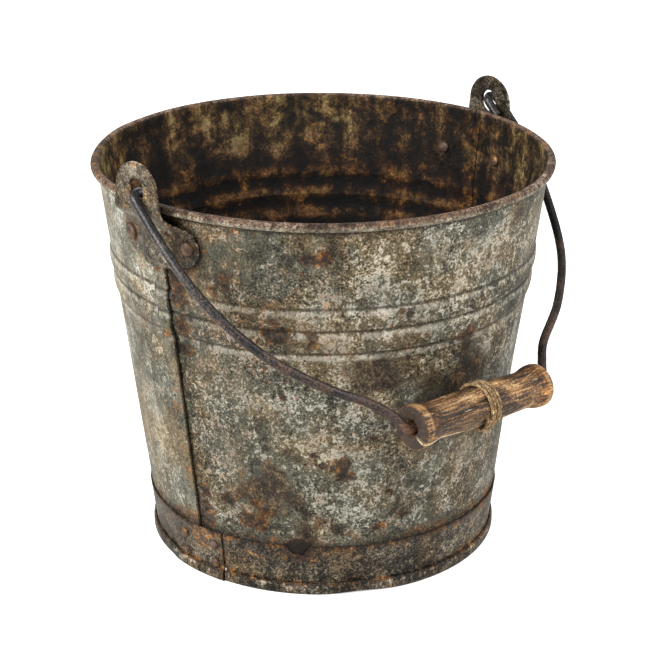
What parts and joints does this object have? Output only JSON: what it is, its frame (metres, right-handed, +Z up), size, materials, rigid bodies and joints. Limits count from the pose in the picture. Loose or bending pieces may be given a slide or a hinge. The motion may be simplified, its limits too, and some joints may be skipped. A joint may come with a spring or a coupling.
{
  "type": "rusty metal bucket",
  "caption": "Weathered galvanised pail with a rolled rim, pressed beads, lock seams, a riveted foot hoop and a swinging wire bail with a turned wooden grip.",
  "frame": {"origin": "on the ground under the middle of the whole part with its bail hanging at the front", "axes": "+Z up out of the mouth, +X along the line from the left ear to the right ear, -Y towards the side where the bail hangs"},
  "size_m": [0.3209, 0.3033, 0.2789],
  "materials": {
    "zinc_sheet": "dull mottled galvanising with rust stains",
    "rusty_zinc": "dull galvanising, rusted at its edges",
    "rusty_steel": "rusted",
    "bail_steel": "dark worn wire",
    "grip_wood": "weathered and split",
    "twine": "dry jute"
  },
  "bodies": {
    "pail": {"front_wall": "zinc_sheet", "rear_wall": "zinc_sheet", "rim_wire": "rusty_steel", "bottom_disc": "rusty_steel", "foot_hoop": "rusty_zinc", "hoop_rivet_1": "rusty_steel", "hoop_rivet_2": "rusty_steel", "hoop_rivet_3": "rusty_steel", "hoop_rivet_4": "rusty_steel", "left_ear": "rusty_zinc", "right_ear": "rusty_zinc", "left_ear_rivet_1": "rusty_steel", "left_ear_rivet_2": "rusty_steel", "right_ear_rivet_1": "rusty_steel", "right_ear_rivet_2": "rusty_steel"},
    "bail": {"bail": "bail_steel"},
    "grip": {"wooden_grip": "grip_wood", "twine_binding": "twine"}
  },
  "joints": [
    {"name": "bail_swing", "type": "hinge", "parent": "pail", "child": "bail", "pos_m": [0, 0.0011, 0.2605], "axis": [-1, 0, 0], "range_deg": [0, 263]},
    {"name": "grip_spin", "type": "hinge", "parent": "bail", "child": "grip", "pos_m": [-0.0115, -0.13701, 0.12712], "axis": [0.9986, -0.0376, -0.0364], "continuous": true}
  ]
}
